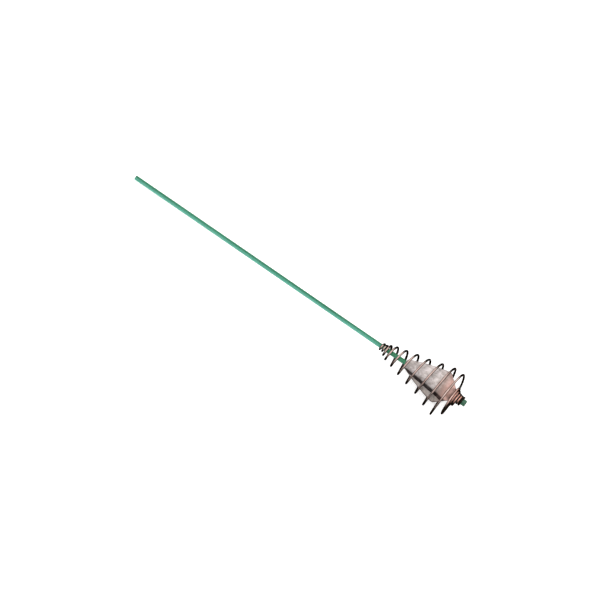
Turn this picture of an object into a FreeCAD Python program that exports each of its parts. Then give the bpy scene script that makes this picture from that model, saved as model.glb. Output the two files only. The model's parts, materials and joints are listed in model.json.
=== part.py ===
import FreeCAD, Part
import math
import os

# Spring feeder on an anti-tangle tube: a thin hollow tube, a wire spring wound into a
# cage near its nose end, a cast weight that slides on the tube inside the cage, and a
# short sleeve at the nose that the last turns of the wire grip.
#
# Each piece is built along the tube's own axis: X is the distance from the tail end, and
# the axis is at Y = Z = 0. Then all of them are laid down as the feeder lies on a table,
# on its tail end and on the widest turn of the wire, with the nose raised.
#
# Frame of the finished part, in millimetres: +X from tail to nose, +Z up, the origin at
# the centre of the bounding box's bottom.

# Tube
TUBE_LENGTH = 249.2
TUBE_RADIUS = 1.5
TUBE_BORE_RADIUS = 0.9
TUBE_EDGE = 0.15

# Sleeve over the nose end of the tube; its front edge stands past the tube's end
NOSE_END = 250.0
SLEEVE_START = 243.7
SLEEVE_RADIUS = 2.1
SLEEVE_EDGE = 0.25

# Wire of the cage. It is one left-handed coil from the tail collar to the nose collar.
WIRE_RADIUS = 0.7
GRIP = 0.05
TAIL_GRIP = TUBE_RADIUS + WIRE_RADIUS - GRIP
NOSE_GRIP = SLEEVE_RADIUS + WIRE_RADIUS - GRIP
# (turn, distance from the tail end, radius of the wire's centre line)
COIL = [
    (0, 186.9, TAIL_GRIP),
    (1, 188.8, TAIL_GRIP),
    (2, 190.7, 3.4),
    (3, 193.3, 4.9),
    (4, 198.5, 6.3),
    (5, 205.0, 8.0),
    (6, 212.4, 9.8),
    (7, 220.4, 11.5),
    (7.5, 224.5, 12.8),
    (8, 228.5, 14.7),
    (8.5, 232.4, 15.0),
    (9, 235.5, 16.9),
    (9.5, 239.0, 14.6),
    (9.7, 240.8, 13.9),
    (10, 241.0, 12.6),
    (10.5, 241.6, 6.2),
    (11, 241.9, 5.5),
    (11.5, 242.6, 4.8),
    (12, 243.4, 4.6),
    (12.5, 244.2, 3.4),
    (13, 245.0, NOSE_GRIP),
    (14, 246.5, NOSE_GRIP),
    (14.5, 247.3, NOSE_GRIP),
]
# The open turns sit off centre, towards -Y: (turn, offset)
OFF_CENTRE = [(0, 0), (1, 0), (2, 0.5), (12, 0.5), (13, 0), (15, 0)]
# The narrow turns lean back at the top by up to this many degrees. The lean fades out as
# the turns widen, and the widest one stands square to the tube.
LEAN = 5
WIDEST = max(radius for turn, station, radius in COIL)
POINTS_PER_TURN = 16

# Cast weight: a long rounded cone towards the tail and a short cone towards the nose
WEIGHT_BORE_RADIUS = 1.58
WEIGHT_START = 204.9
WEIGHT_START_RADIUS = 2.7
WEIGHT_WAIST = 218.5
WEIGHT_WAIST_RADIUS = 7.75
WEIGHT_SHOULDER = 231.8
WEIGHT_RADIUS = 11.2
WEIGHT_NOSE = 241.6
WEIGHT_NOSE_RADIUS = 2.9
WEIGHT_END = 243.55
WEIGHT_END_RADIUS = 2.3
WEIGHT_EDGE = 0.3
# The shoulder is rounded over this length of the nose cone. The rounding's middle point
# lies at these shares of its length and of its drop.
SHOULDER_ROUND = 1.2
MIDDLE_LENGTH = 0.55
MIDDLE_DROP = 0.35


def vector(x, y, z):
    return FreeCAD.Vector(x, y, z)


def line(start, end):
    return Part.LineSegment(vector(start[0], 0, start[1]), vector(end[0], 0, end[1])).toShape()


def arc(start, middle, end):
    points = [vector(x, 0, r) for x, r in (start, middle, end)]
    return Part.Arc(*points).toShape()


def turned(edges):
    """A closed outline of (distance, radius) edges, turned about the tube's axis."""
    face = Part.Face(Part.Wire(edges))
    return face.revolve(vector(0, 0, 0), vector(1, 0, 0), 360)


def polygon(corners):
    return [line(a, b) for a, b in zip(corners, corners[1:] + corners[:1])]


def hollow_cylinder(start, end, bore, radius, edge):
    """A sleeve with both outer edges chamfered."""
    return turned(polygon([
        (start, bore),
        (start, radius - edge),
        (start + edge, radius),
        (end - edge, radius),
        (end, radius - edge),
        (end, bore),
    ]))


def anti_tangle_tube():
    return hollow_cylinder(0, TUBE_LENGTH, TUBE_BORE_RADIUS, TUBE_RADIUS, TUBE_EDGE)


def end_sleeve():
    return hollow_cylinder(SLEEVE_START, NOSE_END, TUBE_RADIUS, SLEEVE_RADIUS, SLEEVE_EDGE)


def lead_weight():
    start = (WEIGHT_START, WEIGHT_START_RADIUS)
    waist = (WEIGHT_WAIST, WEIGHT_WAIST_RADIUS)
    shoulder = (WEIGHT_SHOULDER, WEIGHT_RADIUS)
    nose = (WEIGHT_NOSE, WEIGHT_NOSE_RADIUS)
    slope = math.atan2(WEIGHT_RADIUS - WEIGHT_NOSE_RADIUS, WEIGHT_NOSE - WEIGHT_SHOULDER)
    length = SHOULDER_ROUND * math.cos(slope)
    drop = SHOULDER_ROUND * math.sin(slope)
    past = (WEIGHT_SHOULDER + length, WEIGHT_RADIUS - drop)
    crown = (WEIGHT_SHOULDER + MIDDLE_LENGTH * length, WEIGHT_RADIUS - MIDDLE_DROP * drop)
    corners = [
        nose,
        (WEIGHT_END, WEIGHT_END_RADIUS),
        (WEIGHT_END, WEIGHT_BORE_RADIUS + WEIGHT_EDGE),
        (WEIGHT_END - WEIGHT_EDGE, WEIGHT_BORE_RADIUS),
        (WEIGHT_START + WEIGHT_EDGE, WEIGHT_BORE_RADIUS),
        (WEIGHT_START, WEIGHT_BORE_RADIUS + WEIGHT_EDGE),
        start,
    ]
    edges = [arc(start, waist, shoulder), arc(shoulder, crown, past), line(past, nose)]
    edges += [line(a, b) for a, b in zip(corners, corners[1:])]
    return turned(edges)


def slopes(turns, values):
    """Slopes at the knots of a monotone cubic, which never overshoots a knot."""
    gaps = [b - a for a, b in zip(turns, turns[1:])]
    rises = [(b - a) / gap for a, b, gap in zip(values, values[1:], gaps)]
    result = [rises[0]]
    for left, right, before, after in zip(gaps, gaps[1:], rises, rises[1:]):
        if before * after <= 0:
            result.append(0.0)
        else:
            first = 2 * right + left
            second = right + 2 * left
            result.append((first + second) / (first / before + second / after))
    return result + [rises[-1]]


def smooth(turns, values, turn):
    """The monotone cubic through the knots, at one turn."""
    knot = max(i for i in range(len(turns) - 1) if turns[i] <= turn)
    gap = turns[knot + 1] - turns[knot]
    q = (turn - turns[knot]) / gap
    tangent = slopes(turns, values)
    return (values[knot] * (1 + 2 * q) * (1 - q) ** 2
            + values[knot + 1] * q * q * (3 - 2 * q)
            + gap * tangent[knot] * q * (1 - q) ** 2
            + gap * tangent[knot + 1] * q * q * (q - 1))


def coil_point(turn):
    """A point of the wire's centre line. It starts on the -Y side and turns over the top."""
    turns, stations, radii = zip(*COIL)
    angle = 2 * math.pi * (turn - 0.25)
    radius = smooth(turns, radii, turn)
    lean = radius * math.sin(math.radians(LEAN)) * (1 - radius / WIDEST)
    offset = smooth(*zip(*OFF_CENTRE), turn)
    x = smooth(turns, stations, turn) - lean * math.cos(angle)
    return vector(x, radius * math.sin(angle) - offset, radius * math.cos(angle))


def coil_points():
    count = round(COIL[-1][0] * POINTS_PER_TURN)
    return [coil_point(step / POINTS_PER_TURN) for step in range(count + 1)]


def feeder_spring(points):
    path = Part.BSplineCurve()
    path.interpolate(points)
    section = Part.Circle(points[0], path.tangent(path.FirstParameter)[0], WIRE_RADIUS)
    return Part.Wire(path.toShape()).makePipeShell([Part.Wire(section.toShape())], True, True)


def rest_tilt(points):
    """The tube's slope when its tail and one turn of the wire are on the table."""
    drop = WIRE_RADIUS - TUBE_RADIUS
    return max(math.atan2(drop - point.z, point.x) for point in points)


def lying(tilt, points):
    """The placement that lays the feeder down and centres its bounding box."""
    turn = FreeCAD.Rotation(vector(0, 1, 0), -math.degrees(tilt))
    x_low = -TUBE_RADIUS * math.sin(tilt)
    x_high = NOSE_END * math.cos(tilt) + SLEEVE_RADIUS * math.sin(tilt)
    sides = [point.y for point in points]
    shift = vector(-(x_low + x_high) / 2, -(min(sides) + max(sides)) / 2, TUBE_RADIUS * math.cos(tilt))
    return FreeCAD.Placement(shift, turn)


os.makedirs("parts", exist_ok=True)
wire_line = coil_points()
nodes = {
    "anti_tangle_tube": anti_tangle_tube(),
    "end_sleeve": end_sleeve(),
    "feeder_spring": feeder_spring(wire_line),
    "lead_weight": lead_weight(),
}
placement = lying(rest_tilt(wire_line), wire_line)
for name, shape in nodes.items():
    shape.Placement = placement
    shape.exportStep("parts/" + name + ".step")
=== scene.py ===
import json
import math

import bpy
import numpy as np
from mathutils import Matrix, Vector, noise


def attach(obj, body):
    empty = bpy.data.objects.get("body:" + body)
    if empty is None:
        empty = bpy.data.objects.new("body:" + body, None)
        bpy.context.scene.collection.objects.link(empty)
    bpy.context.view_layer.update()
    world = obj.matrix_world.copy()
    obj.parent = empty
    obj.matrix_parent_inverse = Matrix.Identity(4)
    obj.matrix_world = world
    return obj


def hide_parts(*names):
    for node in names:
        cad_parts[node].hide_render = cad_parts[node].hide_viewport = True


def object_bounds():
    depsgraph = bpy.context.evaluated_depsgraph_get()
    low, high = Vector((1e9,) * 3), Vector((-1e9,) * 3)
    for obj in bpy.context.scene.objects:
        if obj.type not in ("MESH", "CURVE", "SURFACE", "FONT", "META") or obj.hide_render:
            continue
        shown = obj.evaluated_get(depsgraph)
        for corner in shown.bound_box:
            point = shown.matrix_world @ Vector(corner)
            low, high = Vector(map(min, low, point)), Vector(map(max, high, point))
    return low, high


# Spring feeder lying on a white table. Lengths are millimetres along and around the tube's
# own axis until place() turns them into metres in the frame.

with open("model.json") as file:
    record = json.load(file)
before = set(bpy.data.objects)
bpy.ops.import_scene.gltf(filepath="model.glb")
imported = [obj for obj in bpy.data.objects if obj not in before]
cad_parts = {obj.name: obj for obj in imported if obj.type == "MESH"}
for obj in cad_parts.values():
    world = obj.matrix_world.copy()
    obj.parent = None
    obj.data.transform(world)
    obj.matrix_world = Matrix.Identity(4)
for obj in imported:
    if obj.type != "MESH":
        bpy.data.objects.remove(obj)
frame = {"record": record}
cad_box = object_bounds()

MM = 0.001
BORE = next(m for m in frame["record"]["mounts"] if m["name"] == "line_bore")
TAIL = Vector(BORE["pos_m"])
ALONG = -Vector(BORE["axis"])
SIDE = Vector((0, 1, 0))
UP = ALONG.cross(SIDE)

# Tube and sleeve
TUBE_LENGTH = 249.2
TUBE_RADIUS = 1.5
TUBE_BORE = 0.9
SLEEVE_START = 243.7
SLEEVE_END = 250.0
SLEEVE_RADIUS = 2.1
# How far the visible skins stay inside the two ends of the solids
INSET = 0.01

# Wire: (turn, distance from the tail end, radius of the centre line)
WIRE_RADIUS = 0.7
TAIL_GRIP = 2.15
NOSE_GRIP = 2.75
COIL = [
    (0, 186.9, TAIL_GRIP),
    (1, 188.8, TAIL_GRIP),
    (2, 190.7, 3.4),
    (3, 193.3, 4.9),
    (4, 198.5, 6.3),
    (5, 205.0, 8.0),
    (6, 212.4, 9.8),
    (7, 220.4, 11.5),
    (7.5, 224.5, 12.8),
    (8, 228.5, 14.7),
    (8.5, 232.4, 15.0),
    (9, 235.5, 16.9),
    (9.5, 239.0, 14.6),
    (9.7, 240.8, 13.9),
    (10, 241.0, 12.6),
    (10.5, 241.6, 6.2),
    (11, 241.9, 5.5),
    (11.5, 242.6, 4.8),
    (12, 243.4, 4.6),
    (12.5, 244.2, 3.4),
    (13, 245.0, NOSE_GRIP),
    (14, 246.5, NOSE_GRIP),
    (14.5, 247.3, NOSE_GRIP),
]
# The open turns sit off centre, away from +Y: (turn, offset)
OFF_CENTRE = [(0, 0), (1, 0), (2, 0.5), (12, 0.5), (13, 0), (15, 0)]
# The narrow turns lean back at the top by up to this many degrees; the widest stands square
LEAN = 5
WIDEST = max(radius for turn, station, radius in COIL)

# Cast weight: (distance, radius) of the outline's main points
WEIGHT_TAIL = (204.9, 2.7)
WEIGHT_WAIST = (218.5, 7.75)
WEIGHT_SHOULDER = (231.8, 11.2)
WEIGHT_CONE_END = (241.6, 2.9)
WEIGHT_END = (243.55, 2.3)
WEIGHT_BORE = 1.58
# Where the two halves of its mould met: this far to the side of the axis at the tail end of
# the weight, and this much further out for each millimetre towards the nose
SEAM_SIDE = 3.0
SEAM_SPREAD = 0.107
# Roundings of the weight's corners, and the chamfer at each mouth of its bore
TAIL_ROUND = 0.45
SHOULDER_ROUND = 1.0
NOSE_ROUND = 0.4
MOUTH = 0.3
# Its cast skin: how far that lies inside the solid, and how much it wavers in broad swells
# and in fine ripples
CAST_DEPTH = 0.07
SWELL = 0.05
RIPPLE = 0.012
# The ridge along each seam
SEAM_HEIGHT = 0.09
SEAM_WIDTH = 0.3
# The unevenness fades out over this width next to the bore, and there is none at all in the
# bore and this near to it
CAST_FADE = 2
CAST_EDGE = 0.35
# Dents in it: (distance, angle round the axis, size, depth)
DENTS = [
    (210.5, 0.35, 1.4, 0.06),
    (217.0, -0.5, 1.8, 0.07),
    (222.5, 0.9, 2.2, 0.07),
    (226.0, -1.3, 1.6, 0.08),
    (229.0, 0.15, 1.5, 0.06),
    (231.6, -0.75, 1.0, 0.16),
    (231.8, 1.1, 0.9, 0.14),
    (231.7, 2.4, 1.3, 0.18),
    (235.0, 0.5, 1.4, 0.08),
    (236.5, -1.6, 1.6, 0.09),
    (224.0, 2.7, 2.2, 0.10),
    (214.0, -2.6, 2.0, 0.09),
]
# The painted dark reflections along the seams, and the painted shade outside them, fade out from this
# far above and below the level of the axis
DARKENING_GAP = 1.5

# Where the painted shade of the cage on the tube and the painted reflection of the copper wire on the
# weight begin
CAGE_SHADE_START = 186
WIRE_REFLECTION_START = 228

# View: a camera looking almost straight down
AZIMUTH = 34.77
ELEVATION = 86.0
CAMERA_DISTANCE = 2.1
FRAME_WIDTH = 0.3712
AIM_RIGHT = 0.00107
AIM_UP = -0.00548
SENSOR = 36

# Studio, in metres: an overhead softbox, and a room whose brightness goes from dark to
# bright between two heights of direction. The heights are measured on a slant, so that the
# room is bright right down to the table on one side. That side is to the right of the view,
# and this many times as far up it.
BRIGHT_UP = 1.5
BOX_OFFSET = 0.3
BOX_HEIGHT = 2.6
BOX_SIZE = 2.4
BOX_POWER = 22
ROOM_SLANT = 0.8
SHADE_START = -0.02
SHADE_END = 0.24
ROOM_DARK = 0.02
ROOM_BRIGHT = 1.25
TABLE_HALF = 1.5

# Skins: edges sharper than this, in degrees, are not smoothed over
SHARP_EDGE = 40


# ---------------------------------------------------------------- geometry helpers


def place(points):
    """Points in millimetres along the tube, to the side and up, as metres in the frame."""
    axes = np.array([ALONG, SIDE, UP])
    return np.asarray(points) @ axes * MM + np.array(TAIL)


def grid_mesh(name, grid, wrap, local=None, marks=None):
    """A skin over rows of points. Each row is a closed ring. wrap joins the last row to the
    first, and without it each end row is closed by a face. The material reads local, which
    is the points themselves unless it is given, and marks: numbers stored under a name, one
    for each row or each point."""
    rows, cols = grid.shape[:2]
    flat = grid.reshape(-1, 3)
    faces = []
    for i in range(rows if wrap else rows - 1):
        for j in range(cols):
            k = (j + 1) % cols
            n = (i + 1) % rows
            faces.append((i * cols + j, n * cols + j, n * cols + k, i * cols + k))
    if not wrap:
        faces.append(tuple(range(cols)))
        faces.append(tuple(reversed(range((rows - 1) * cols, rows * cols))))
    mesh = bpy.data.meshes.new(name)
    mesh.from_pydata(place(flat).tolist(), [], faces)
    values = flat if local is None else local.reshape(-1, 3)
    store = mesh.attributes.new("local", "FLOAT_VECTOR", "POINT")
    store.data.foreach_set("vector", values.astype(np.float32).ravel())
    for mark, numbers in (marks or {}).items():
        store = mesh.attributes.new(mark, "FLOAT", "POINT")
        if np.ndim(numbers) == 1:
            numbers = np.repeat(numbers, cols)
        store.data.foreach_set("value", np.ravel(numbers).astype(np.float32))
    mesh.shade_smooth()
    mesh.set_sharp_from_angle(angle=math.radians(SHARP_EDGE))
    piece = bpy.data.objects.new(name, mesh)
    bpy.context.scene.collection.objects.link(piece)
    return piece


def lathe(name, outline, sides, shape, marks=None):
    """A closed outline of (distance, radius) turned about the tube; shape(x, r, angle) gives
    each radius, and marks are functions of a grid of points."""
    angles = np.arange(sides) * 2 * math.pi / sides
    grid = np.zeros((len(outline), sides, 3))
    for i, (x, r) in enumerate(outline):
        for j, angle in enumerate(angles):
            radius = shape(x, r, angle)
            grid[i, j] = (x, radius * math.sin(angle), radius * math.cos(angle))
    numbers = {key: mark(grid) for key, mark in (marks or {}).items()}
    return grid_mesh(name, grid, True, marks=numbers)


def between(start, end, step):
    """Points from start up to, not including, end, about step apart."""
    length = math.dist(start, end)
    count = max(1, round(length / step))
    return [tuple(a + (b - a) * i / count for a, b in zip(start, end)) for i in range(count)]


def outline_of(corners, step):
    """Points about step apart all round a closed outline of corners."""
    points = []
    for start, end in zip(corners, corners[1:] + corners[:1]):
        points += between(start, end, step)
    return points


def rounded(corner, before, after, size, count=5):
    """A small curve in place of a corner."""
    def toward(other):
        share = size / math.dist(corner, other)
        return tuple(c + (o - c) * share for c, o in zip(corner, other))

    a = toward(before)
    b = toward(after)
    points = []
    for i in range(count + 1):
        q = i / count
        points.append(tuple(
            s * (1 - q) ** 2 + 2 * c * q * (1 - q) + e * q * q for s, c, e in zip(a, corner, b)))
    return points


def bump_shape(distance, width):
    """1 at no distance, falling off smoothly over the width."""
    return math.exp(-(distance / width) ** 2)


def turn_gap(a, b):
    """The smaller angle between two directions."""
    return abs((a - b + math.pi) % (2 * math.pi) - math.pi)


# ---------------------------------------------------------------- the wire's line


def slopes(turns, values):
    """Slopes at the knots of a monotone cubic, which never overshoots a knot."""
    gaps = np.diff(turns)
    rises = np.diff(values) / gaps
    result = [rises[0]]
    for left, right, before, after in zip(gaps, gaps[1:], rises, rises[1:]):
        if before * after <= 0:
            result.append(0.0)
        else:
            first = 2 * right + left
            second = right + 2 * left
            result.append((first + second) / (first / before + second / after))
    return np.array(result + [rises[-1]])


def smooth(turns, values, turn):
    """The monotone cubic through the knots, at an array of turns."""
    turns = np.array(turns, float)
    values = np.array(values, float)
    knot = np.clip(np.searchsorted(turns, turn, side="right") - 1, 0, len(turns) - 2)
    gap = turns[knot + 1] - turns[knot]
    q = (turn - turns[knot]) / gap
    tangent = slopes(turns, values)
    return (values[knot] * (1 + 2 * q) * (1 - q) ** 2
            + values[knot + 1] * q * q * (3 - 2 * q)
            + gap * tangent[knot] * q * (1 - q) ** 2
            + gap * tangent[knot + 1] * q * q * (q - 1))


def wire_line(turn, inset=0):
    """The wire's centre line at an array of turns, drawn in towards the tube by inset, and
    its angle round the axis. It starts on the -Y side and turns over the top."""
    turns, stations, radii = zip(*COIL)
    angle = 2 * math.pi * (turn - 0.25)
    even = smooth(turns, radii, turn)
    lean = even * math.sin(math.radians(LEAN)) * (1 - even / WIDEST)
    offset = smooth(*zip(*OFF_CENTRE), turn)
    x = smooth(turns, stations, turn) - lean * np.cos(angle)
    radius = even - inset
    return np.stack([x, radius * np.sin(angle) - offset, radius * np.cos(angle)], 1), angle


def hand_wound(turn):
    """How far the open turns fall inside their even line, in millimetres. It wavers with no
    period that the eye can find."""
    first_open = 2
    last_open = 11
    mean = 0.05
    open_part = np.clip((turn - first_open) / 1.5, 0, 1) * np.clip(last_open - turn, 0, 1)
    return open_part * (mean + mean * np.sin(2.7 * turn + 0.8) * np.cos(7.1 * turn))


# ---------------------------------------------------------------- pieces


def wire_cage():
    """The whole cage: one round wire swept along its line."""
    steps_per_turn = 56
    sides = 24
    turn = np.linspace(0, COIL[-1][0], round(COIL[-1][0] * steps_per_turn) + 1)
    line, angle = wire_line(turn, hand_wound(turn))
    tangent = np.gradient(line, axis=0)
    tangent /= np.linalg.norm(tangent, axis=1)[:, None]
    outward = np.stack([np.zeros_like(angle), np.sin(angle), np.cos(angle)], 1)
    outward -= tangent * np.sum(outward * tangent, 1)[:, None]
    outward /= np.linalg.norm(outward, axis=1)[:, None]
    across = np.cross(tangent, outward)
    run = np.concatenate([[0], np.cumsum(np.linalg.norm(np.diff(line, axis=0), axis=1))])
    # the two cut ends are pinched by the cutter: a third thinner, and half that narrower
    pinch = 0.35
    pinch_length = 0.5
    from_end = np.minimum(run, run[-1] - run)
    flat = 1 - pinch * np.clip(1 - from_end / pinch_length, 0, 1) ** 2
    thick = WIRE_RADIUS * flat
    width = 0.5 + 0.5 * flat
    grid = np.zeros((len(turn), sides, 3))
    local = np.zeros_like(grid)
    for j in range(sides):
        a = 2 * math.pi * j / sides
        out = math.cos(a)
        side = math.sin(a)
        grid[:, j] = (line + outward * (out * thick)[:, None]
                      + across * (side * WIRE_RADIUS * width)[:, None])
        local[:, j, 0] = run
        local[:, j, 1] = out
        local[:, j, 2] = side
    # painted highlight: only at the very top of the narrow turns, and none at all on the last cut end
    narrow = 1 + 2 * np.exp(-turn / 2)
    last_highlit = 14
    first_tight = 10
    marks = {
        "crest": np.abs(np.cos(angle)) ** narrow * np.clip((last_highlit - turn) / 0.3, 0, 1),
        # the nose turns get a redder painted reflection in their highlight
        "nose": np.clip((turn - first_tight) / 0.6, 0, 1),
    }
    return grid_mesh("wire_cage", grid, False, local, marks)


def weight_outline():
    """The long flank is a parabola through three points, and the shoulder is a small round
    whose corner is just past the flank's end."""
    x1, r1 = WEIGHT_TAIL
    x2, r2 = WEIGHT_WAIST
    x3, r3 = WEIGHT_SHOULDER
    end = WEIGHT_END[0]
    fit = np.polyfit([x1, x2, x3], [r1, r2, r3], 2)
    flank = [(x, float(np.polyval(fit, x))) for x in np.linspace(x1, x3, 70)]
    tail = rounded(WEIGHT_TAIL, (x1, WEIGHT_BORE), flank[3], TAIL_ROUND)
    crown = (x3 + 0.35, r3 - 0.02)
    shoulder = rounded(crown, flank[-3], WEIGHT_CONE_END, SHOULDER_ROUND, count=8)
    cone = between(shoulder[-1], WEIGHT_CONE_END, step=0.4)
    nose = [WEIGHT_CONE_END]
    nose += rounded(WEIGHT_END, WEIGHT_CONE_END, (end, WEIGHT_BORE), NOSE_ROUND)
    bore = [(end, WEIGHT_BORE + MOUTH)]
    bore += between((end - MOUTH, WEIGHT_BORE), (x1 + MOUTH, WEIGHT_BORE), step=1.0)
    bore += [(x1 + MOUTH, WEIGHT_BORE), (x1, WEIGHT_BORE + MOUTH)]
    return tail + flank[2:-2] + shoulder + cone[1:] + nose + bore


def seam_angle(x, r):
    """The direction of the mould seam on the upper side of the weight. Near the nose, where
    the seam would miss the narrow cone, it runs along the cone's side."""
    side = SEAM_SIDE + SEAM_SPREAD * (x - WEIGHT_TAIL[0])
    return -math.asin(min(0.95, side / r))


def cast_weight():
    """The double cone with its bore, as it came out of the mould."""
    def cast(x, r, angle):
        """The radius of the cast skin: uneven, dented, and raised along its two seams."""
        if r < WEIGHT_BORE + CAST_EDGE:
            return r
        point = Vector((x, r * math.sin(angle), r * math.cos(angle)))
        swell = noise.fractal(point * 0.16, 1.0, 2.0, 3)
        inside = CAST_DEPTH + SWELL * swell + RIPPLE * noise.noise(point * 0.9)
        for dent_x, dent_angle, size, depth in DENTS:
            reach = math.hypot(x - dent_x, turn_gap(angle, dent_angle) * r)
            inside += depth * bump_shape(reach, size)
        seam = seam_angle(x, r)
        height = 0.75 + 0.25 * noise.noise(Vector((x * 0.5, 0, 0)))
        for side in (seam, seam + math.pi):
            off = turn_gap(angle, side) * r
            inside -= SEAM_HEIGHT * bump_shape(off, SEAM_WIDTH) * height
        return r - max(inside, 0.0) * min(1, (r - WEIGHT_BORE) / CAST_FADE)

    def seam_mark(grid):
        """0.5 on the two seams, which face each other across the axis. It changes by a quarter
        for each millimetre off a seam, and twice as fast at the tail end, where the painted dark
        reflection along the seam is narrow."""
        x, y, z = np.moveaxis(grid, 2, 0)
        side = SEAM_SIDE + SEAM_SPREAD * (x - WEIGHT_TAIL[0])
        off = y + np.where(z > 0, side, -side)
        narrowing = 1 + np.exp((WEIGHT_TAIL[0] - x) / 5)
        return np.clip(off * 0.25 * narrowing + 0.5, 0, 1)

    def rise_mark(grid):
        """1 on the very top of the weight, 0 on its sides, -1 underneath."""
        return grid[..., 2] / np.hypot(grid[..., 1], grid[..., 2])

    def apart_mark(grid):
        """0 level with the axis, where the painted dark reflections of the two seams would meet, and
        1 from their gap above or below it."""
        return np.clip(np.abs(grid[..., 2]) / DARKENING_GAP, 0, 1)

    marks = {"seam": seam_mark, "rise": rise_mark, "apart": apart_mark}
    return lathe("cast_weight", weight_outline(), sides=224, shape=cast, marks=marks)


def green_tube():
    """The hollow tube, with its outer edges taken off."""
    edge = 0.12
    flare = 0.05
    waver = 0.012
    corners = [
        (INSET, TUBE_BORE + flare),
        (INSET, TUBE_RADIUS - edge),
        (edge, TUBE_RADIUS),
        (TUBE_LENGTH - edge, TUBE_RADIUS),
        (TUBE_LENGTH, TUBE_RADIUS - edge),
        (TUBE_LENGTH, TUBE_BORE),
    ]

    def drawn(x, r, angle):
        """The outside is a little uneven along its length. The bore is true."""
        if r < TUBE_RADIUS - edge - 0.01:
            return r
        ripple = noise.noise(Vector((x * 0.04, math.sin(angle), math.cos(angle))))
        return r - waver * (1 + ripple)

    return lathe("green_tube", outline_of(corners, step=1.6), sides=64, shape=drawn)


def nose_sleeve():
    """The short sleeve on the nose end of the tube."""
    edge = 0.22
    dent = 0.10
    dent_width = 0.55
    first_near = 12.7
    corners = [
        (SLEEVE_START, TUBE_RADIUS),
        (SLEEVE_START, SLEEVE_RADIUS - edge),
        (SLEEVE_START + edge, SLEEVE_RADIUS),
        (SLEEVE_END - edge, SLEEVE_RADIUS),
        (SLEEVE_END - INSET, SLEEVE_RADIUS - edge),
        (SLEEVE_END - INSET, TUBE_RADIUS),
    ]
    line, angle = wire_line(np.linspace(first_near, COIL[-1][0], 500))
    radius = np.hypot(line[:, 1], line[:, 2])
    wire_side = np.sin(angle)
    wire_up = np.cos(angle)

    def pressed(x, r, around):
        """The sleeve gives way under the turns that grip it."""
        if r < SLEEVE_RADIUS - edge - 0.01:
            return r
        across = SLEEVE_RADIUS * np.hypot(wire_side - math.sin(around), wire_up - math.cos(around))
        apart = np.hypot(line[:, 0] - x, across)
        near = float(np.min(apart + np.maximum(radius - NOSE_GRIP, 0)))
        return r - dent * bump_shape(near, dent_width)

    return lathe("nose_sleeve", outline_of(corners, step=0.22), sides=72, shape=pressed)


# ---------------------------------------------------------------- materials


class Nodes:
    """Short calls for building one material."""

    def __init__(self, name):
        self.material = bpy.data.materials.new(name)
        self.material.use_nodes = True
        self.tree = self.material.node_tree
        self.shader = self.tree.nodes["Principled BSDF"]

    def add(self, kind, **values):
        node = self.tree.nodes.new(kind)
        for key, value in values.items():
            setattr(node, key, value)
        return node

    def link(self, source, target):
        self.tree.links.new(source, target)

    def stretched(self, scale):
        """The stored local position, scaled on each axis."""
        stored = self.add("ShaderNodeAttribute", attribute_name="local")
        multiply = self.add("ShaderNodeVectorMath", operation="MULTIPLY")
        multiply.inputs[1].default_value = scale
        self.link(stored.outputs["Vector"], multiply.inputs[0])
        return multiply.outputs[0]

    def mark(self, name):
        """A number stored on the mesh."""
        return self.add("ShaderNodeAttribute", attribute_name=name).outputs["Fac"]

    def part(self, axis, scale, offset):
        """One axis of the stored local position, scaled and moved."""
        stored = self.add("ShaderNodeAttribute", attribute_name="local")
        split = self.add("ShaderNodeSeparateXYZ")
        self.link(stored.outputs["Vector"], split.inputs[0])
        scaled = self.add("ShaderNodeMath", operation="MULTIPLY_ADD")
        self.link(split.outputs[axis], scaled.inputs[0])
        scaled.inputs[1].default_value = scale
        scaled.inputs[2].default_value = offset
        return scaled.outputs[0]

    def past(self, start):
        """0 at a distance from the tail end, and 1 a centimetre further."""
        return self.part(0, 1 / 10, -start / 10)

    def noise(self, scale, detail=4.0, roughness=0.55, distortion=0.0):
        """Noise with so many cycles for each millimetre on each axis of the local position."""
        texture = self.add("ShaderNodeTexNoise")
        texture.inputs["Scale"].default_value = 1.0
        texture.inputs["Detail"].default_value = detail
        texture.inputs["Roughness"].default_value = roughness
        texture.inputs["Distortion"].default_value = distortion
        self.link(self.stretched(scale), texture.inputs["Vector"])
        return texture.outputs["Fac"]

    def ramp(self, source, stops):
        """stops are (position, colour); a plain number gives a grey."""
        node = self.add("ShaderNodeValToRGB")
        elements = node.color_ramp.elements
        while len(elements) < len(stops):
            elements.new(0.5)
        for element, (position, colour) in zip(elements, stops):
            element.position = position
            rgb = (colour,) * 3 if isinstance(colour, (int, float)) else colour
            element.color = (*rgb, 1)
        self.link(source, node.inputs["Fac"])
        return node.outputs["Color"]

    def mix(self, amount, first, second, blend="MIX"):
        """Two colours mixed. Each value is a node's output, a number or a colour."""
        node = self.add("ShaderNodeMix", data_type="RGBA", blend_type=blend)
        # a Mix node has sockets for each type of data, and these are the ones for colours
        factor = node.inputs[0]
        colour_a = node.inputs[6]
        colour_b = node.inputs[7]
        for value, socket in ((amount, factor), (first, colour_a), (second, colour_b)):
            if hasattr(value, "is_linked"):
                self.link(value, socket)
            else:
                socket.default_value = value if isinstance(value, (int, float)) else (*value, 1)
        return node.outputs[2]

    def both(self, first, second):
        """Two masks multiplied."""
        return self.mix(1.0, first, second, "MULTIPLY")

    def bump(self, height, strength, distance, under=None):
        """A bump of so many metres, on top of another one where under is given."""
        node = self.add("ShaderNodeBump")
        node.inputs["Strength"].default_value = strength
        node.inputs["Distance"].default_value = distance
        self.link(height, node.inputs["Height"])
        if under is not None:
            self.link(under, node.inputs["Normal"])
        return node.outputs["Normal"]

    def set(self, **values):
        """Sockets of the shader by name, with _ for a space."""
        for key, value in values.items():
            socket = self.shader.inputs[key.replace("_", " ")]
            if hasattr(value, "is_linked"):
                self.link(value, socket)
            else:
                socket.default_value = value


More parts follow.
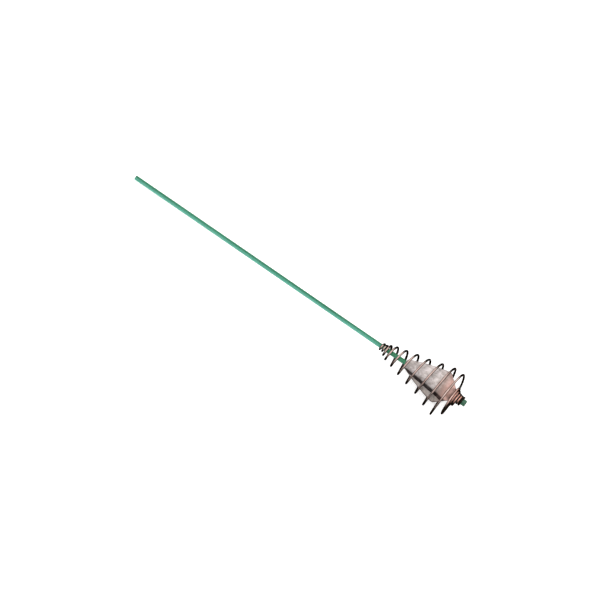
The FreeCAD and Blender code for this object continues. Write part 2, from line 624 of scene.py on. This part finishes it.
def tube_plastic():
    """Translucent green tube, with painted light: its -Y side is painted lighter and its +Y side
    darker, as light passing through it would show. Inside the cage it is darker: painted shade."""
    m = Nodes("tube_plastic")
    cloud = m.noise((0.05, 0.5, 0.5), 3)
    lines = m.noise((0.02, 3.0, 3.0), 2)
    scuffs = m.noise((0.5, 1.5, 1.5), 5, 0.6)
    lit_side_deep = (0.14, 0.54, 0.40)
    lit_side_pale = (0.19, 0.61, 0.47)
    shaded_side_deep = (0.001, 0.125, 0.055)
    shaded_side_pale = (0.003, 0.165, 0.080)
    cage_shade = (0.02, 0.22, 0.075)
    streak = (0.06, 0.38, 0.25)
    # painted light: the -Y side of the tube is painted lighter and its +Y side darker
    shaded_side_share = m.ramp(m.part(1, 0.5 / TUBE_RADIUS, 0.5), [(0.10, 0.0), (0.70, 1.0)])
    lit_side = m.ramp(cloud, [(0.35, lit_side_deep), (0.65, lit_side_pale)])
    # thick holds the darker colour of the painted shaded +Y side
    thick = m.ramp(cloud, [(0.35, shaded_side_deep), (0.65, shaded_side_pale)])
    colour = m.mix(shaded_side_share, lit_side, thick)
    # painted shade: inside the cage the tube is painted a darker green
    cage_shaded = m.ramp(m.past(CAGE_SHADE_START), [(0.0, 0.0), (0.5, 0.7)])
    colour = m.mix(cage_shaded, colour, cage_shade)
    m.set(
        Base_Color=m.mix(m.ramp(lines, [(0.45, 0.0), (0.7, 0.2)]), colour, streak),
        Roughness=m.ramp(scuffs, [(0.4, 0.25), (0.7, 0.42)]),
        Specular_IOR_Level=0.35,
        Normal=m.bump(scuffs, 0.15, 0.00004, m.bump(lines, 0.3, 0.00004)),
        Transmission_Weight=0.15,
        IOR=1.45,
        Subsurface_Weight=0.2,
        Subsurface_Scale=0.0008,
        Subsurface_Radius=(0.4, 1.0, 0.8),
    )
    return m.material


def sleeve_plastic():
    """Darker green plastic, cloudy and scuffed."""
    m = Nodes("sleeve_plastic")
    dark = (0.014, 0.085, 0.042)
    light = (0.034, 0.150, 0.080)
    cloud = m.noise((0.6, 0.8, 0.8), 4)
    scuffs = m.noise((2.0, 2.0, 2.0), 5, 0.65)
    m.set(
        Base_Color=m.ramp(cloud, [(0.35, dark), (0.7, light)]),
        Roughness=m.ramp(scuffs, [(0.4, 0.3), (0.7, 0.5)]),
        Normal=m.bump(scuffs, 0.3, 0.00005),
        Transmission_Weight=0.15,
        IOR=1.45,
    )
    return m.material


def oxidised_wire():
    """Copper-washed steel wire: a dark oxidised coat drawn along its length. A painted copper
    highlight lies on the outer face of the wire along the top and bottom of the cage, and is
    redder on the tight turns of the nose, as a painted reflection between the bunched turns."""
    m = Nodes("oxidised_wire")
    patches = m.noise((0.16, 0.5, 0.5), 4, 0.6, 0.3)
    drawn = m.noise((0.12, 5.0, 5.0), 3, 0.6)
    pits = m.noise((2.5, 2.5, 2.5), 4, 0.7)
    black = (0.010, 0.009, 0.007)
    brown = (0.024, 0.019, 0.015)
    dull_copper = (0.36, 0.25, 0.22)
    bright_copper = (0.56, 0.43, 0.39)
    red_nose_reflection = (0.62, 0.33, 0.265)
    pit = (0.02, 0.014, 0.012)
    oxide_and_dark_reflection = m.ramp(drawn, [(0.3, black), (0.7, brown)])
    copper = m.ramp(patches, [(0.35, dull_copper), (0.65, bright_copper)])
    # painted reflection: the highlight is redder on the bunched tight turns of the nose
    copper = m.mix(m.mark("nose"), copper, red_nose_reflection)
    # 1 on the outside of the coil and 0 on its inside, with a ragged edge between them
    outside = m.mix(0.15, m.part(1, 0.5, 0.5), patches)
    # painted highlight: copper on the wire's outer face along the top and bottom of the cage
    crest = m.ramp(m.mix(0.12, m.mark("crest"), patches), [(0.62, 0.0), (0.80, 1.0)])
    painted_highlight = m.both(crest, m.ramp(outside, [(0.76, 0.0), (0.90, 1.0)]))
    colour = m.mix(painted_highlight, oxide_and_dark_reflection, copper)
    m.set(
        Base_Color=m.mix(m.ramp(pits, [(0.60, 0.0), (0.72, 0.5)]), colour, pit),
        Metallic=1.0,
        Roughness=m.ramp(patches, [(0.4, 0.42), (0.65, 0.30)]),
        Normal=m.bump(pits, 0.25, 0.00004, m.bump(drawn, 0.4, 0.00004)),
        Specular_Tint=(0.25, 0.2, 0.18, 1),
    )
    return m.material


def cast_lead():
    """Cast lead: a matt, mottled skin with a fine casting grain. A dark band is painted along the
    mould's seams as a painted reflection, painted shade darkens the lower side and the skin outside
    each seam, and a painted reflection of the copper wire tints the nose cone brown, less so outside
    the seams."""
    m = Nodes("cast_lead")
    mottle = m.noise((0.20, 0.26, 0.26), 5, 0.62, 0.6)
    stains = m.noise((0.45, 0.6, 0.6), 6, 0.7, 0.8)
    grain = m.noise((2.2, 2.2, 2.2), 6, 0.7)
    flow = m.noise((0.5, 0.25, 0.25), 3, 0.55, 1.0)
    dark = (0.38, 0.335, 0.32)
    grey = (0.58, 0.53, 0.515)
    pale = (0.76, 0.69, 0.69)
    stain = (0.30, 0.245, 0.225)
    speck = (0.24, 0.20, 0.19)
    seam_outside_shade = (0.27, 0.235, 0.205)
    brown = (0.26, 0.18, 0.15)
    reflected_orange = (0.64, 0.34, 0.27)
    under = (0.07, 0.045, 0.040)
    black = (0.014, 0.007, 0.007)
    skin = m.ramp(mottle, [(0.34, dark), (0.5, grey), (0.66, pale)])
    skin = m.mix(m.ramp(stains, [(0.48, 0.0), (0.62, 0.55)]), skin, stain)
    # painted reflection of the copper wire: the nose cone is tinted from brown to coppery red, less so
    # outside the seams; brown is its darker colour
    noseward = m.past(WIRE_REFLECTION_START)
    wire_reflection = m.ramp(noseward, [(0.3, brown), (0.8, reflected_orange)])
    # painted shade: outside each seam, away from the level of the axis, the skin is painted darker
    outside = m.ramp(m.mark("seam"), [(0.10, 0.65), (0.22, 0.0)])
    outside = m.both(outside, m.mark("apart"))
    wire_reflected = m.ramp(noseward, [(0.0, 0.0), (0.3, 0.62), (0.9, 0.7)])
    wire_reflected = m.both(wire_reflected, m.ramp(outside, [(0.0, 1.0), (0.65, 0.3)]))
    skin = m.mix(wire_reflected, skin, wire_reflection)
    skin = m.mix(outside, skin, seam_outside_shade)
    # painted shade: from a little above its sides down to its bottom the weight is painted near black
    underside_shade = m.ramp(m.mix(0.15, m.mark("rise"), stains), [(0.24, 0.85), (0.37, 0.0)])
    skin = m.mix(underside_shade, skin, under)
    # painted reflection: a black band along each seam stands in for the dark room mirrored in the metal
    seam = m.mix(0.06, m.mark("seam"), stains)
    oxide_and_dark_reflection = m.ramp(seam, [(0.19, 0.0), (0.23, 1.0), (0.62, 0.96), (0.84, 0.0)])
    oxide_and_dark_reflection = m.both(oxide_and_dark_reflection, m.ramp(mottle, [(0.38, 1.0), (0.62, 0.93)]))
    oxide_and_dark_reflection = m.both(oxide_and_dark_reflection, m.mark("apart"))
    skin = m.mix(oxide_and_dark_reflection, skin, black)
    m.set(
        Base_Color=m.mix(m.ramp(grain, [(0.58, 0.0), (0.75, 0.2)]), skin, speck),
        Metallic=0.75,
        Roughness=m.ramp(stains, [(0.35, 0.42), (0.65, 0.55)]),
        Specular_Tint=(0.35, 0.3, 0.3, 1),
        Normal=m.bump(grain, 0.25, 0.00010, m.bump(flow, 0.20, 0.0003)),
    )
    return m.material


def white_table():
    """A plain white top that glows a little, as the photo's background is pure white."""
    m = Nodes("white_table")
    m.set(Base_Color=(0.93, 0.93, 0.93, 1), Roughness=0.6)
    m.set(Emission_Color=(1, 1, 1, 1), Emission_Strength=0.4)
    return m.material


# ---------------------------------------------------------------- stage


def floor():
    """The table top."""
    mesh = bpy.data.meshes.new("table")
    corners = [(x * TABLE_HALF, y * TABLE_HALF, 0) for x, y in ((-1, -1), (1, -1), (1, 1), (-1, 1))]
    mesh.from_pydata(corners, [], [(0, 1, 2, 3)])
    table = bpy.data.objects.new("table", mesh)
    bpy.context.scene.collection.objects.link(table)
    mesh.materials.append(white_table())


def camera():
    """The camera, aimed near the middle of the CAD box. Gives back its direction to the right."""
    azimuth = math.radians(AZIMUTH)
    elevation = math.radians(ELEVATION)
    toward = Vector((
        math.sin(azimuth) * math.cos(elevation),
        -math.cos(azimuth) * math.cos(elevation),
        math.sin(elevation),
    ))
    right = Vector((math.cos(azimuth), math.sin(azimuth), 0))
    up = toward.cross(right)
    low, high = (Vector(corner) for corner in cad_box)
    target = (low + high) / 2 + right * AIM_RIGHT + up * AIM_UP
    data = bpy.data.cameras.new("camera")
    data.sensor_width = SENSOR
    data.lens = SENSOR * CAMERA_DISTANCE / FRAME_WIDTH
    data.clip_start = 0.05
    view = bpy.data.objects.new("camera", data)
    view.location = target + toward * CAMERA_DISTANCE
    view.rotation_euler = toward.to_track_quat("Z", "Y").to_euler()
    bpy.context.scene.collection.objects.link(view)
    bpy.context.scene.camera = view
    return right


def softbox(name, location, size, power):
    """A square light that faces the origin."""
    data = bpy.data.lights.new(name, "AREA")
    data.shape = "RECTANGLE"
    data.size = size
    data.size_y = size
    data.energy = power
    light = bpy.data.objects.new(name, data)
    light.location = location
    light.rotation_euler = Vector(location).to_track_quat("Z", "Y").to_euler()
    bpy.context.scene.collection.objects.link(light)


def studio(right):
    """A soft bright room with one large softbox overhead. The room is dark only low down on
    the side away from the upper right of the view."""
    bright_side = Vector((right.x - BRIGHT_UP * right.y, right.y + BRIGHT_UP * right.x, 0)).normalized()
    softbox("overhead", bright_side * BOX_OFFSET + Vector((0, 0, BOX_HEIGHT)), BOX_SIZE, BOX_POWER)
    world = bpy.data.worlds.new("room")
    bpy.context.scene.world = world
    world.use_nodes = True
    tree = world.node_tree
    direction = tree.nodes.new("ShaderNodeTexCoord")
    height = tree.nodes.new("ShaderNodeVectorMath")
    height.operation = "DOT_PRODUCT"
    height.inputs[1].default_value = bright_side * ROOM_SLANT + Vector((0, 0, 1))
    shade = tree.nodes.new("ShaderNodeMapRange")
    shade.interpolation_type = "SMOOTHSTEP"
    shade.inputs["From Min"].default_value = SHADE_START
    shade.inputs["From Max"].default_value = SHADE_END
    shade.inputs["To Min"].default_value = ROOM_DARK
    shade.inputs["To Max"].default_value = ROOM_BRIGHT
    tree.links.new(direction.outputs["Generated"], height.inputs[0])
    tree.links.new(height.outputs["Value"], shade.inputs["Value"])
    tree.links.new(shade.outputs["Result"], tree.nodes["Background"].inputs["Strength"])
    tree.nodes["Background"].inputs["Color"].default_value = (1.0, 0.99, 0.98, 1)
    bpy.context.scene.view_settings.view_transform = "Standard"


def dress(piece, material, node, body):
    """Gives a piece its material and its body, and hides the CAD node that it stands for."""
    piece.data.materials.append(material)
    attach(piece, body)
    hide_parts(node)


studio(camera())
floor()
dress(green_tube(), tube_plastic(), "anti_tangle_tube", "feeder")
dress(nose_sleeve(), sleeve_plastic(), "end_sleeve", "feeder")
dress(wire_cage(), oxidised_wire(), "feeder_spring", "feeder")
dress(cast_weight(), cast_lead(), "lead_weight", "weight")
